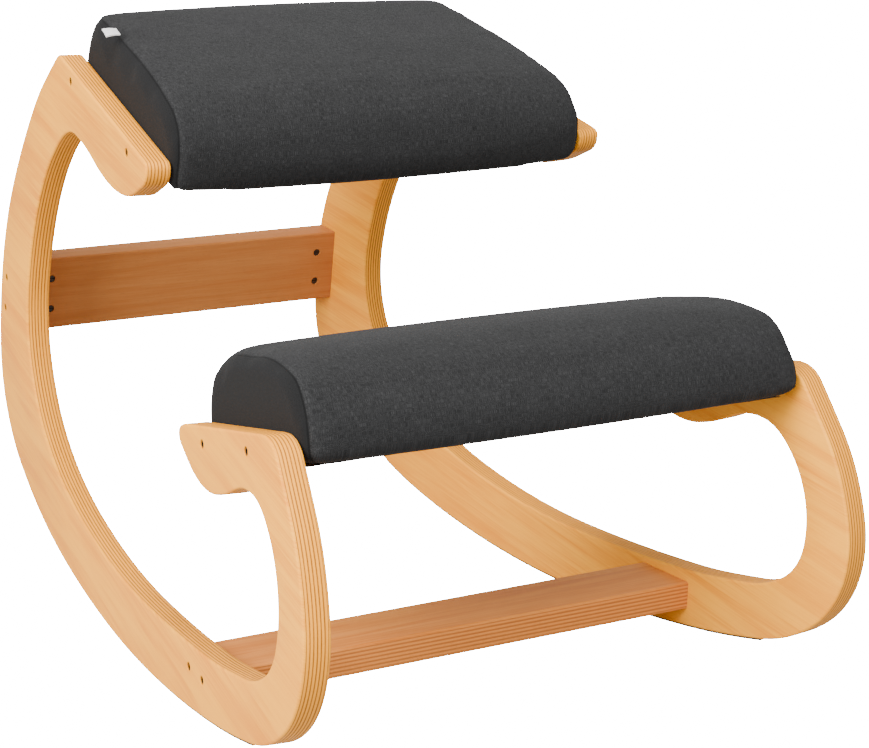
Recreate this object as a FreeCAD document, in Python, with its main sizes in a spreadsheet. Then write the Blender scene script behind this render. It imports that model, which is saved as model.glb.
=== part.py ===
# Rocking kneeling chair: two splayed plywood side frames, two cross rails,
# an upholstered seat and an upholstered knee pad, bolted into barrel nuts.
#
# Everything is laid out in a drawing frame first: X across the chair, Y to
# the back, Z up, with the rockers' lowest point at height 0 and the datum
# line, where the two frames stand mid_gap apart, at Y 0. At the end the
# whole chair is turned about X into the attitude in which it balances on
# its rockers, and set with the middle of its base at the origin.

import FreeCAD
import Part
import math
import os

from FreeCAD import Placement, Rotation, Vector

doc = FreeCAD.newDocument("kneeling_chair")

# Driving sizes, in millimetres and degrees
SIZES = {
    # side frames
    "ply_thickness": 21.0,
    "mid_gap": 360.0,
    "splay_angle": 5.7,
    "arris": 2.0,
    "rest_tilt": 8.2,
    # outline of a side frame, measured from the datum line and the floor line
    "seat_line_height": 419.1,
    "seat_slope": 3.6,
    "seat_arm_reach": 89.0,
    "seat_arm_depth": 53.0,
    "bay_back": 190.6,
    "bay_floor": 59.4,
    "bay_front": 416.7,
    "bay_front_top": 262.3,
    "knee_tip_reach": 212.2,
    "knee_tip_height": 253.0,
    "knee_slope": 22.5,
    "knee_arm_length": 149.8,
    "front_reach": 464.5,
    "rocker_front_reach": 390.0,
    "rocker_front_rise": 82.6,
    "rocker_back_reach": 122.3,
    "rocker_back_rise": 9.8,
    "back_reach": 270.3,
    # back rail
    "back_rail_width": 68.0,
    "back_rail_thickness": 25.0,
    "back_rail_inset": 18.0,
    "back_rail_height": 166.0,
    "back_rail_lean": 2.8,
    "back_rail_bolt_gap": 29.0,
    # foot rail
    "foot_rail_width": 57.0,
    "foot_rail_thickness": 24.0,
    "foot_rail_reach": 275.0,
    "foot_rail_height": 74.5,
    "foot_rail_slope": 9.0,
    "foot_rail_bolt_gap": 28.4,
    "rail_edge_radius": 2.0,
    # seat
    "board_thickness": 18.0,
    "board_margin": 8.0,
    "seat_length": 236.0,
    "seat_centre": 22.5,
    "seat_board_drop": 10.0,
    "seat_bolt_gap": 147.0,
    "seat_bolt_shift": 8.0,
    "seat_back_height": 52.0,
    "seat_front_height": 47.0,
    "seat_crown": 5.0,
    # knee pad
    "knee_length": 197.0,
    "knee_centre": 84.5,
    "knee_board_drop": 13.0,
    "knee_bolt_gap": 89.0,
    "knee_bolt_shift": 5.8,
    "knee_pad_height": 69.0,
    "knee_crown": 2.0,
    # upholstery
    "side_swell": 2.0,
    "draw_in": 6.0,
    "draw_in_width": 12.0,
    "soft_clearance": 0.3,
    "dust_cover_thickness": 0.8,
    "dust_cover_margin": 8.0,
    "tab_length": 14.0,
    "tab_height": 10.0,
    "tab_thickness": 0.6,
    "tab_shift": 68.0,
    "tab_rise": 42.0,
    # fittings
    "bolt_diameter": 5.0,
    "bolt_head_diameter": 8.5,
    "bolt_head_height": 4.5,
    "bolt_hole_diameter": 5.6,
    "counterbore_diameter": 9.4,
    "counterbore_depth": 6.5,
    "nut_diameter": 10.0,
    "nut_length": 14.0,
    "nut_setback": 17.5,
    "nut_hole_clearance": 0.2,
    "nut_recess": 1.0,
    "bolt_tail": 6.0,
    "bolt_end_room": 2.0,
    # grip strips
    "strip_thickness": 1.5,
}

sheet = doc.addObject("Spreadsheet::Sheet", "sizes")
for row, (alias, number) in enumerate(SIZES.items(), start=1):
    sheet.set("A%d" % row, alias)
    sheet.set("B%d" % row, str(number))
    sheet.setAlias("B%d" % row, alias)
doc.recompute()


def size(alias):
    """The number that the sheet holds under an alias."""
    return float(getattr(sheet, alias))


LEFT = -1
RIGHT = 1
SIDES = ((LEFT, "left"), (RIGHT, "right"))
FAR = 600.0  # half the length of tools that have to reach past the chair
ROD_SIDES = 12  # the 32 small fittings and their holes are drawn with few sides
SPLAY = math.radians(size("splay_angle"))
made = []  # every finished piece, with its place in the drawing frame


def finished(piece, label, home=None):
    """Name a finished piece and note its place in the drawing frame."""
    piece.Label = label
    made.append((piece, home or Placement()))
    return piece


# Outlines: chains of tangent arcs through stations (u, v, heading in degrees)


def direction(heading):
    turn = math.radians(heading)
    return Vector(math.cos(turn), math.sin(turn), 0)


def right_of(heading):
    turn = math.radians(heading)
    return Vector(math.sin(turn), -math.cos(turn), 0)


def single_arc(start, heading, end):
    """One arc leaving start along heading: its three points, each with its heading."""
    chord = end - start
    turn = 2 * math.atan2(-chord.dot(right_of(heading)), chord.dot(direction(heading)))
    middle_heading = heading + math.degrees(turn) / 2
    sagitta = chord.Length / 2 * math.tan(turn / 4)
    middle = (start + end) * 0.5 + right_of(middle_heading) * sagitta
    return [(start, heading), (middle, middle_heading), (end, heading + math.degrees(turn))]


def tangent_arcs(stations):
    """Two tangent arcs from each station to the next."""
    arcs = []
    for (u0, v0, first), (u1, v1, last) in zip(stations, stations[1:]):
        start = Vector(u0, v0, 0)
        end = Vector(u1, v1, 0)
        chord = end - start
        along = direction(first) + direction(last)
        bend = 2 * (1 - direction(first).dot(direction(last)))
        reach = chord.dot(along)
        if bend < 1e-9:
            tangent = chord.dot(chord) / (2 * reach)
        else:
            tangent = (math.sqrt(reach * reach + bend * chord.dot(chord)) - reach) / bend
        joint = (start + direction(first) * tangent + end - direction(last) * tangent) * 0.5
        arcs.append(single_arc(start, first, joint))
        arcs.append(single_arc(joint, arcs[-1][2][1], end))
    return arcs


def moved_out(arc, distance):
    """The same arc moved to the right of its direction of travel."""
    return [(point + right_of(heading) * distance, heading) for point, heading in arc]


def arc_curve(arc):
    start, middle, end = [point for point, heading in arc]
    if abs(arc[2][1] - arc[0][1]) < 1e-4:
        return Part.LineSegment(start, end)
    return Part.Arc(start, middle, end)


def draw(sketch, arcs):
    for arc in arcs:
        sketch.addGeometry(arc_curve(arc), False)


def draw_line(sketch, start, end):
    sketch.addGeometry(Part.LineSegment(start, end), False)


def draw_round(sketch, centre, radius):
    """A small hole with as many sides as the rods that go in it."""
    corners = [centre + direction(360.0 * n / ROD_SIDES) * radius for n in range(ROD_SIDES + 1)]
    for start, end in zip(corners, corners[1:]):
        draw_line(sketch, start, end)


def seat_arm():
    """Seat arm: flat sloping top, round nose, hollowed underside."""
    slope = size("seat_slope")
    rise = math.tan(math.radians(slope))
    top = size("seat_line_height")
    reach = size("seat_arm_reach")
    nose = top - reach * rise
    waist = top - size("seat_arm_depth")
    return [
        (137.0, top + 137.0 * rise, 180 + slope),
        (16.5 - reach, nose + 1.0, 180 + slope),
        (-reach, nose - 5.7, 262),
        (22.0 - reach, nose - 32.0, 325.5),
        (-8.0, waist, 360),
        (83.6, waist + 10.0, 360),
    ]


def open_bay():
    """The open inside of the C, from the notch under the seat to the one under the knee arm."""
    back = size("bay_back")
    floor = size("bay_floor")
    front = size("bay_front")
    roof = size("bay_front_top")
    neck = size("seat_line_height") - size("seat_arm_depth")
    return [
        (back - 67.6, neck - 7.0, 317),
        (back, 200.0, 271),
        (back - 77.6, floor + 25.0, 205.6),
        (0.0, floor, 182.7),
        (117.7 - front, floor + 41.0, 165.3),
        (50.7 - front, floor + 63.3, 160.1),
        (-front, 181.9, 90.3),
        (39.0 - front, roof - 8.1, 32.8),
        (63.7 - front, roof, 0),
    ]


def knee_arm():
    """Knee arm: hollowed underside, blunt tip, straight sloping top, rounded shoulder."""
    slope = size("knee_slope")
    tip = -size("knee_tip_reach")
    height = size("knee_tip_height")
    length = size("knee_arm_length")
    shoulder_u = tip - length * math.cos(math.radians(slope))
    shoulder_v = height + length * math.sin(math.radians(slope))
    return [
        (tip - 71.1, height - 24.3, -24.5),
        (tip - 6.2, height - 23.8, 22),
        (tip + 11.4, height - 13.2, 70),
        (tip, height, 180 - slope),
        (shoulder_u, shoulder_v, 180 - slope),
        (shoulder_u - 17.9, shoulder_v + 4.5, 180),
        (shoulder_u - 35.7, shoulder_v - 2.4, 222),
    ]


def front_edge():
    reach = size("front_reach")
    return [
        (22.9 - reach, 249.3, 237.8),
        (-reach, 183.7, 268.9),
    ]


def rocker():
    """The part of the outline that rolls on the floor, from the front to the back."""
    return [
        (-size("rocker_front_reach"), size("rocker_front_rise"), 337),
        (-328.0, 58.8, 341.5),
        (14.8, 0.0, 360.3),
        (size("rocker_back_reach"), size("rocker_back_rise"), 371.5),
    ]


def back_edge():
    reach = size("back_reach")
    top = size("seat_line_height")
    return [
        (reach - 36.7, 58.7, 404.3),
        (reach, 181.4, 451.4),
        (reach - 70.0, 363.4, 484.2),
        (150.7, top + 0.5, 494.9),
    ]


def closed(stations):
    """Stations with the first one again at the end, one turn further round."""
    u, v, heading = stations[0]
    return stations + [(u, v, heading + 360)]


def frame_place(side):
    """Plane of a side frame: u to the back, v up, inner face at w 0."""
    back = Vector(-side * math.sin(SPLAY), math.cos(SPLAY), 0)
    up = Vector(0, 0, 1)
    return Placement(Vector(side * size("mid_gap") / 2, 0, 0), Rotation(back, up, back.cross(up), "XYZ"))


# Cross members: each has a place of its own, X across, Y to its back, Z up


def turned(y, z, lean):
    return Placement(Vector(0, y, z), Rotation(Vector(1, 0, 0), lean))


def seat_place():
    """The middle of the seat board, its drop below the top line of the seat arms."""
    slope = size("seat_slope")
    line = turned(0, size("seat_line_height"), slope)
    return line * Placement(Vector(0, size("seat_centre"), -size("seat_board_drop")), Rotation())


def knee_place():
    """The middle of the knee board, its drop below the top line of the knee arms."""
    line = turned(-size("knee_tip_reach"), size("knee_tip_height"), -size("knee_slope"))
    return line * Placement(Vector(0, -size("knee_centre"), -size("knee_board_drop")), Rotation())


def back_rail_place():
    reach = size("back_reach") - size("back_rail_inset")
    return turned(reach, size("back_rail_height"), -size("back_rail_lean"))


def foot_rail_place():
    return turned(-size("foot_rail_reach"), size("foot_rail_height"), -size("foot_rail_slope"))


ALONG = Vector(0, 1, 0)
UPWARD = Vector(0, 0, 1)
JOINTS = {
    # name: place, line of the bolts, their gap, their shift, way in for the nuts, depth of the wood there
    "seat": (seat_place(), ALONG, "seat_bolt_gap", size("seat_bolt_shift"), -UPWARD, "board_thickness"),
    "knee": (knee_place(), ALONG, "knee_bolt_gap", size("knee_bolt_shift"), -UPWARD, "board_thickness"),
    "back_rail": (back_rail_place(), UPWARD, "back_rail_bolt_gap", 0.0, -ALONG, "back_rail_thickness"),
    "foot_rail": (foot_rail_place(), ALONG, "foot_rail_bolt_gap", 0.0, -UPWARD, "foot_rail_thickness"),
}


def bolt_spots(joint):
    """Where the bolts of a joint cross the frames, as (u, v)."""
    place, line, gap, shift, mouth, wood = JOINTS[joint]
    spots = []
    for half in (-0.5, 0.5):
        point = place.multVec(line * (shift + half * size(gap)))
        spots.append((point.y / math.cos(SPLAY), point.z))
    return spots


def bolt_place(side, spot):
    """On a frame's outer face, with Z running inward along the bolt."""
    u, v = spot
    place = frame_place(side) * Placement(Vector(u, v, side * size("ply_thickness")), Rotation())
    if side == RIGHT:
        place = place * Placement(Vector(), Rotation(Vector(1, 0, 0), 180))
    return place


def deeper(place, depth):
    return place * Placement(Vector(0, 0, depth), Rotation())


def rod(name, place, diameter, length):
    """A rod with a few flat sides, from a place along its Z, its sizes given as formulas of the sheet."""
    piece = doc.addObject("Part::Prism", name)
    piece.Polygon = ROD_SIDES
    piece.setExpression("Circumradius", "(%s) / 2" % diameter)
    piece.setExpression("Height", length)
    piece.Placement = place
    return piece


def cut(name, base, tool):
    piece = doc.addObject("Part::Cut", name)
    piece.Base = base
    piece.Tool = tool
    return piece


def common(name, base, tool):
    piece = doc.addObject("Part::Common", name)
    piece.Base = base
    piece.Tool = tool
    return piece


def group(name, pieces):
    piece = doc.addObject("Part::Compound", name)
    piece.Links = pieces
    return piece


BOLT_REACH = "sizes.ply_thickness + sizes.nut_setback + sizes.bolt_tail"


def bolt(name, place):
    """Socket head bolt, its head on the floor of the counterbore."""
    seat = size("counterbore_depth")
    shank = rod(name + "_shank", deeper(place, seat), "sizes.bolt_diameter",
                BOLT_REACH + " - sizes.counterbore_depth")
    head_top = deeper(place, seat - size("bolt_head_height"))
    head = rod(name + "_head", head_top, "sizes.bolt_head_diameter", "sizes.bolt_head_height")
    whole = doc.addObject("Part::Fuse", name)
    whole.Base = shank
    whole.Tool = head
    return whole


def nut_place(joint, side, spot):
    """The mouth of a barrel nut's hole, with Z running into the wood."""
    place, line, gap, shift, mouth, wood = JOINTS[joint]
    centre = deeper(bolt_place(side, spot), size("ply_thickness") + size("nut_setback")).Base
    way_in = place.Rotation.multVec(mouth * -1)
    surface = centre - way_in * (size(wood) / 2)
    return Placement(surface, Rotation(Vector(0, 0, 1), way_in))


def nut(name, joint, side, spot):
    """Barrel nut, pierced by its bolt."""
    mouth = nut_place(joint, side, spot)
    body = rod(name + "_rod", deeper(mouth, size("nut_recess")), "sizes.nut_diameter", "sizes.nut_length")
    thread = rod(name + "_thread", bolt_place(side, spot), "sizes.bolt_diameter",
                 BOLT_REACH + " + sizes.nut_diameter")
    return cut(name, body, thread)


def fit_joint(joint):
    """Bolts and nuts of one cross member; returns the holes that they need in it."""
    bolts = []
    nuts = []
    holes = []
    for side, hand in SIDES:
        for number, spot in enumerate(bolt_spots(joint), start=1):
            tag = "%s_%s_%d" % (joint, hand, number)
            place = bolt_place(side, spot)
            bolts.append(bolt("bolt_" + tag, place))
            nuts.append(nut("nut_" + tag, joint, side, spot))
            holes.append(rod("bore_" + tag, place, "sizes.bolt_hole_diameter",
                             BOLT_REACH + " + sizes.bolt_end_room"))
            holes.append(rod("well_" + tag, nut_place(joint, side, spot),
                             "sizes.nut_diameter + 2 * sizes.nut_hole_clearance",
                             "sizes.nut_length + sizes.nut_recess"))
    finished(group("bolts_" + joint, bolts), joint + "_bolts")
    finished(group("nuts_" + joint, nuts), joint + "_nuts")
    return group("holes_" + joint, holes)


def wedge(name, clearance):
    """The space between the frames' inner faces, a clearance in from each."""
    half = size("mid_gap") / 2 - clearance / math.cos(SPLAY)
    spread = FAR * math.tan(SPLAY)
    piece = doc.addObject("Part::Wedge", name)
    piece.Xmin = -half - spread
    piece.Xmax = half + spread
    piece.X2min = -half + spread
    piece.X2max = half - spread
    piece.Ymin = -FAR
    piece.Ymax = FAR
    piece.Zmin = -FAR
    piece.Zmax = FAR
    piece.Z2min = -FAR
    piece.Z2max = FAR
    return piece


def bar(name, place, along, upward):
    """A long box centred on a place, its two sizes given as formulas of the sheet."""
    piece = doc.addObject("Part::Box", name)
    piece.Length = 2 * FAR
    piece.setExpression("Width", along)
    piece.setExpression("Height", upward)
    doc.recompute()
    centred = Vector(-FAR, -piece.Width.Value / 2, -piece.Height.Value / 2)
    piece.Placement = place * Placement(centred, Rotation())
    return piece


def rounded(name, base, radius):
    """The same bar with its long edges rounded."""
    doc.recompute()
    piece = doc.addObject("Part::Fillet", name)
    piece.Base = base
    long_edges = [n for n, edge in enumerate(base.Shape.Edges, start=1) if edge.Length > FAR]
    piece.Edges = [(n, radius, radius) for n in long_edges]
    return piece


def rail(joint, along, upward):
    """A solid rail between the frames, bored for its bolts and nuts."""
    blank = bar(joint + "_bar", JOINTS[joint][0], along, upward)
    eased = rounded(joint + "_rounded", blank, size("rail_edge_radius"))
    fitted = common(joint + "_fitted", eased, wedge(joint + "_between", 0.0))
    finished(cut(joint + "_bored", fitted, fit_joint(joint)), joint)


def side_frame(side, hand):
    """Plywood side frame: padded outline, eased arrises, counterbored bolt holes."""
    body = doc.addObject("PartDesign::Body", "frame_" + hand)
    planes = {plane.Role: plane for plane in body.Origin.OriginFeatures}
    thickness = size("ply_thickness")
    outer = side * thickness
    low = min(0.0, outer)

    outline = body.newObject("Sketcher::SketchObject", "outline_" + hand)
    outline.AttachmentSupport = [(planes["XY_Plane"], "")]
    outline.MapMode = "FlatFace"
    outline.AttachmentOffset = Placement(Vector(0, 0, low), Rotation())
    stations = seat_arm() + open_bay() + knee_arm() + front_edge() + rocker() + back_edge()
    draw(outline, tangent_arcs(closed(stations)))
    blank = body.newObject("PartDesign::Pad", "blank_" + hand)
    blank.Profile = outline
    blank.setExpression("Length", "sizes.ply_thickness")
    doc.recompute()

    arris = body.newObject("PartDesign::Chamfer", "arris_" + hand)
    flat = [
        "Edge%d" % n
        for n, edge in enumerate(blank.Shape.Edges, start=1)
        if abs(edge.Vertexes[0].Z - edge.Vertexes[-1].Z) < 0.01
    ]
    arris.Base = (blank, flat)
    arris.setExpression("Size", "sizes.arris")
    doc.recompute()

    spots = [spot for joint in JOINTS for spot in bolt_spots(joint)]
    inward = Rotation() if side == RIGHT else Rotation(Vector(1, 0, 0), 180)
    for name, diameter, depth in (("clearance", "bolt_hole_diameter", "ply_thickness"),
                                  ("counterbore", "counterbore_diameter", "counterbore_depth")):
        circles = body.newObject("Sketcher::SketchObject", "%s_circles_%s" % (name, hand))
        circles.AttachmentSupport = [(planes["XY_Plane"], "")]
        circles.MapMode = "FlatFace"
        circles.AttachmentOffset = Placement(Vector(0, 0, outer), inward)
        for u, v in spots:
            draw_round(circles, Vector(u, side * v, 0), size(diameter) / 2)
        pocket = body.newObject("PartDesign::Pocket", "%s_%s" % (name, hand))
        pocket.Profile = circles
        pocket.setExpression("Length", "sizes." + depth)
        doc.recompute()
    body.Tip = pocket
    finished(body, "side_frame_" + hand, frame_place(side))


def grip_strip(side, hand):
    """Grip strip stuck under a rocker, between its two eased arrises."""
    body = doc.addObject("PartDesign::Body", "strip_" + hand)
    planes = {plane.Role: plane for plane in body.Origin.OriginFeatures}
    edge = size("arris")
    low = edge if side == RIGHT else edge - size("ply_thickness")
    sketch = body.newObject("Sketcher::SketchObject", "strip_outline_" + hand)
    sketch.AttachmentSupport = [(planes["XY_Plane"], "")]
    sketch.MapMode = "FlatFace"
    sketch.AttachmentOffset = Placement(Vector(0, 0, low), Rotation())
    inner = tangent_arcs(rocker())
    outer = [moved_out(arc, size("strip_thickness")) for arc in inner]
    draw(sketch, inner)
    draw(sketch, outer)
    draw_line(sketch, inner[0][0][0], outer[0][0][0])
    draw_line(sketch, inner[-1][2][0], outer[-1][2][0])
    strip = body.newObject("PartDesign::Pad", "strip_pad_" + hand)
    strip.Profile = sketch
    strip.setExpression("Length", "sizes.ply_thickness - 2 * sizes.arris")
    doc.recompute()
    finished(body, "grip_strip_" + hand, frame_place(side))


# Upholstery


def seat_profile():
    """Side view of the seat cushion over its board, from its back foot over to its front foot."""
    half = size("seat_length") / 2
    back = size("seat_back_height")
    front = size("seat_front_height")
    return [
        (half, 16.0, 90),
        (half - 28.0, back, 178),
        (35.0 - half, front, 190),
        (-half, 8.0, 270),
    ]


def knee_profile():
    """Side view of the knee pad over its board, from its back foot over to its front foot."""
    half = size("knee_length") / 2
    top = size("knee_pad_height")
    return [
        (half, 12.0, 90),
        (half - 12.0, top - 27.0, 112),
        (half - 56.0, top - 5.6, 160),
        (0.0, top, 180),
        (50.0 - half, top - 4.5, 195),
        (12.0 - half, top - 25.0, 238),
        (-half, 5.0, 270),
    ]


def pad_section(name, place, profile, crown, across, draw_in):
    """One section of a cushion, in a plane that turns from one frame's face to the other's.

    across runs from -1 at the left frame to 1 at the right one.
    """
    swell = 1 - across * across
    clear = size("soft_clearance") / math.cos(SPLAY)
    half_gap = size("mid_gap") / 2 - place.Base.y * math.tan(SPLAY) - clear
    lean = place.Rotation.Angle * place.Rotation.Axis.x
    level = Vector(-math.sin(across * SPLAY), math.cos(across * SPLAY), 0)
    along = level * math.cos(lean) + Vector(0, 0, math.sin(lean))
    up = level * -math.sin(lean) + Vector(0, 0, math.cos(lean))
    sketch = doc.addObject("Sketcher::SketchObject", name)
    origin = Vector(across * half_gap, place.Base.y, place.Base.z)
    sketch.Placement = Placement(origin, Rotation(along, up, along.cross(up), "XYZ"))

    stations = []
    for q, height, heading in profile:
        out = right_of(heading)
        q += out.x * (size("side_swell") * swell - draw_in)
        height += out.y * (crown * swell - draw_in)
        stations.append((q, height, heading))
    arcs = tangent_arcs(stations)
    draw(sketch, arcs)
    foot = -size("board_thickness") / 2
    back = arcs[0][0][0]
    front = arcs[-1][2][0]
    draw_line(sketch, front, Vector(front.x, foot, 0))
    draw_line(sketch, Vector(front.x, foot, 0), Vector(back.x, foot, 0))
    draw_line(sketch, Vector(back.x, foot, 0), back)
    return sketch


def pad_form(name, place, profile, crown):
    """A cushion's outer form: crowned in the middle, drawn in towards both ends."""
    half_gap = size("mid_gap") / 2 - place.Base.y * math.tan(SPLAY)
    full = 1 - size("draw_in_width") / half_gap
    nearly = 1 - size("draw_in_width") / 3 / half_gap
    draw_in = size("draw_in")
    steps = [(0.0, 0.0), (0.5, 0.0), (full, 0.0), (nearly, draw_in / 4), (1.0, draw_in)]
    rows = [(-across, pull) for across, pull in reversed(steps)] + steps[1:]
    sections = []
    for number, (across, pull) in enumerate(rows, start=1):
        sections.append(pad_section("%s_%d" % (name, number), place, profile, crown, across, pull))
    form = doc.addObject("Part::Loft", name)
    form.Sections = sections
    form.Solid = True
    form.Ruled = True
    return form


def upholstered(joint, profile, length, crown):
    """Board, cushion and dust cover of a padded piece that is bolted between the frames."""
    place = JOINTS[joint][0]
    board_length = "sizes.%s - 2 * sizes.board_margin" % length
    board_bar = bar(joint + "_board_bar", place, board_length, "sizes.board_thickness")
    board = common(joint + "_board_blank", board_bar, wedge(joint + "_board_between", 0.0))
    finished(cut(joint + "_board_bored", board, fit_joint(joint)), joint + "_board")

    form = pad_form(joint + "_form", place, profile, crown)
    finished(cut(joint + "_wrapped", form, board_bar), joint + "_cushion")

    drop = (size("board_thickness") + size("dust_cover_thickness")) / 2
    cloth_length = board_length + " - 2 * sizes.dust_cover_margin"
    cloth = bar(joint + "_dust_bar", deeper(place, -drop), cloth_length, "sizes.dust_cover_thickness")
    gap = wedge(joint + "_dust_between", size("dust_cover_margin"))
    finished(common(joint + "_dust_fitted", cloth, gap), joint + "_dust_cover")


def label_tab():
    """Blank tab sewn to the left end of the seat cover."""
    place = JOINTS["seat"][0]
    spot = place.multVec(Vector(0, size("tab_shift"), size("tab_rise")))
    tab = doc.addObject("Part::Box", "tab")
    tab.setExpression("Length", "sizes.tab_length")
    tab.setExpression("Width", "sizes.tab_height")
    tab.setExpression("Height", "sizes.tab_thickness")
    corner = Vector(spot.y, spot.z, size("soft_clearance") - size("tab_thickness"))
    finished(tab, "label_tab", frame_place(LEFT) * Placement(corner, Rotation()))


for side, hand in SIDES:
    side_frame(side, hand)
    grip_strip(side, hand)
rail("back_rail", "sizes.back_rail_thickness", "sizes.back_rail_width")
rail("foot_rail", "sizes.foot_rail_width", "sizes.foot_rail_thickness")
upholstered("seat", seat_profile(), "seat_length", size("seat_crown"))
upholstered("knee", knee_profile(), "knee_length", size("knee_crown"))
label_tab()
doc.recompute()

# Stand the chair in its balanced attitude, with the middle of its base at the origin
tilt = Placement(Vector(), Rotation(Vector(1, 0, 0), size("rest_tilt")))
for piece, home in made:
    piece.Placement = tilt * home
whole = Part.makeCompound([piece.Shape for piece, home in made]).optimalBoundingBox()
to_origin = Placement(-Vector(whole.Center.x, whole.Center.y, whole.ZMin), Rotation())
for piece, home in made:
    piece.Placement = to_origin * tilt * home

for item in doc.Objects:
    if "Invalid" in item.State or "Error" in item.State:
        raise SystemExit("%s did not build: %s" % (item.Name, item.State))
for piece, home in made:
    if piece.Shape.isNull() or not piece.Shape.isValid():
        raise SystemExit("%s has no valid solid" % piece.Label)

os.makedirs("parts", exist_ok=True)
for piece, home in made:
    piece.Shape.exportStep("parts/%s.step" % piece.Label)
extents = (whole.XLength, whole.YLength, whole.ZLength)
print("chair %.1f x %.1f x %.1f mm, moved by" % extents, to_origin.Base)
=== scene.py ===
import cmath
import math

import bmesh
import bpy
import numpy as np
from bpy.props import FloatProperty, FloatVectorProperty, PointerProperty
from mathutils import Matrix, Vector


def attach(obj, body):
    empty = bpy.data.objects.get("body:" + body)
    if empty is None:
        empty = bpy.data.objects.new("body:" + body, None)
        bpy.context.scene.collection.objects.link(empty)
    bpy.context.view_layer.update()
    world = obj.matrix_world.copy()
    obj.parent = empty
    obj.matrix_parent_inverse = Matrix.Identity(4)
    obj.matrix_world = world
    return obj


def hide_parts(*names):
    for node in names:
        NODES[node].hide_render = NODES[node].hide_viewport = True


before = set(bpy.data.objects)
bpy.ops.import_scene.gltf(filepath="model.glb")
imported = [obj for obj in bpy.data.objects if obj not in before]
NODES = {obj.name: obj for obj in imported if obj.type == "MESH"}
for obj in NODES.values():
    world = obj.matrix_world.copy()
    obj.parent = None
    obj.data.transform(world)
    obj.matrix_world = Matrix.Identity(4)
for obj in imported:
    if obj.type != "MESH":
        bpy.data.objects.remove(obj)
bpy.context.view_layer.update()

bl_info = {
    "name": "Rocking Kneeling Chair",
    "version": (1, 0, 0),
    "blender": (4, 5, 0),
    "location": "3D View > Sidebar > Kneeling Chair",
    "description": "Dresses the kneeling chair: plywood side frames, wooden rails and upholstered pads",
    "category": "Add Mesh",
}

SIDES = (-1, 1)

# Lengths of the drawing frame are in millimetres: X across, Y to the back, Z up
GAP = 360.0  # between the side frames' inner faces, halfway along them
PLY = 21.0  # thickness of the side frames
SPLAY = math.radians(5.7)  # turn of each side frame
TILT = math.radians(8.2)  # turn of the chair at rest
STANDS_AT = (0.0, 118.945, 9.583)  # move that sets the turned chair on the floor
COS_TILT = math.cos(TILT)
SIN_TILT = math.sin(TILT)
SEAT_ARM_HEIGHT = 419.1  # height of the seat arms' top at Y = 0
SEAT_LEAN = 3.6
KNEE_ARM = (-212.2, 253.0)  # rear end of the knee arms' top
KNEE_LEAN = -22.5
BOARD_THICKNESS = 18.0
BACK_RAIL_SIZE = (25.0, 68.0)  # along q and along h
FOOT_RAIL_SIZE = (57.0, 24.0)
RAIL_EDGE = 2.0  # radius of the rails' long edges
RAIL_CLEARANCE = 0.05  # between a rail's end and a side frame
SHARP = 32.0  # edges that turn by more degrees are drawn sharp

# Bolts and nuts: radii and depths in millimetres
MOUTH = 3.9  # a recess or well at its eased mouth
BORE = 3.5  # the same below its mouth
MOUTH_DEPTH = 0.4
RECESS_DEPTH = 6.5
BOLT_HOLE = 2.8
WELL_DEPTH = 15.0
HEAD = 3.3
SHANK = 2.5
BOLT_LENGTH = 44.0
NUT_SETBACK = 17.5  # from a side frame's inner face to a barrel nut's axis


# Places in the drawing frame and in the row frame


def standing(points):
    """Drawing-frame points in the row frame, in metres.

    With the tilt t: x' = x, y' = y cos t - z sin t + 118.945, z' = y sin t + z cos t + 9.583.
    """
    x, y, z = np.moveaxis(np.asarray(points, float), -1, 0)
    turned = (x, y * COS_TILT - z * SIN_TILT, y * SIN_TILT + z * COS_TILT)
    return (np.stack(turned, axis=-1) + STANDS_AT) / 1000


def drawn(points):
    """Row-frame points in metres, back in the drawing frame in millimetres."""
    x, y, z = np.moveaxis(np.asarray(points, float) * 1000 - STANDS_AT, -1, 0)
    return np.stack((x, y * COS_TILT + z * SIN_TILT, z * COS_TILT - y * SIN_TILT), axis=-1)


def on_frame(side, u, v, w):
    """A side frame's own coordinates: u to the back, v up, w outward from its inner face.

    With the splay a: x = side (180 - u sin a + w cos a), y = u cos a + w sin a, z = v.
    """
    x = side * (GAP / 2 - u * math.sin(SPLAY) + w * math.cos(SPLAY))
    y = u * math.cos(SPLAY) + w * math.sin(SPLAY)
    return np.stack(np.broadcast_arrays(x, y, v), axis=-1)


class CrossPlace:
    """Where a cross member sits: q along its depth to the back, h upward, leaning by an angle."""

    def __init__(self, y, z, lean):
        self.y = y
        self.z = z
        self.lean = math.radians(lean)

    def at(self, q, h):
        """(y, z) = (y0 + q cos l - h sin l, z0 + q sin l + h cos l)."""
        y = self.y + q * math.cos(self.lean) - h * math.sin(self.lean)
        z = self.z + q * math.sin(self.lean) + h * math.cos(self.lean)
        return y, z

    def moved(self, q, h):
        """The place with the same lean, q further to the back and h higher."""
        y, z = self.at(q, h)
        return CrossPlace(y, z, math.degrees(self.lean))


SEAT = CrossPlace(0.0, SEAT_ARM_HEIGHT, SEAT_LEAN).moved(22.5, -10.0)
KNEE = CrossPlace(*KNEE_ARM, KNEE_LEAN).moved(-84.5, -13.0)
BACK_RAIL = CrossPlace(252.3, 166.0, -2.8)
FOOT_RAIL = CrossPlace(-275.0, 74.5, -9.0)

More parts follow.
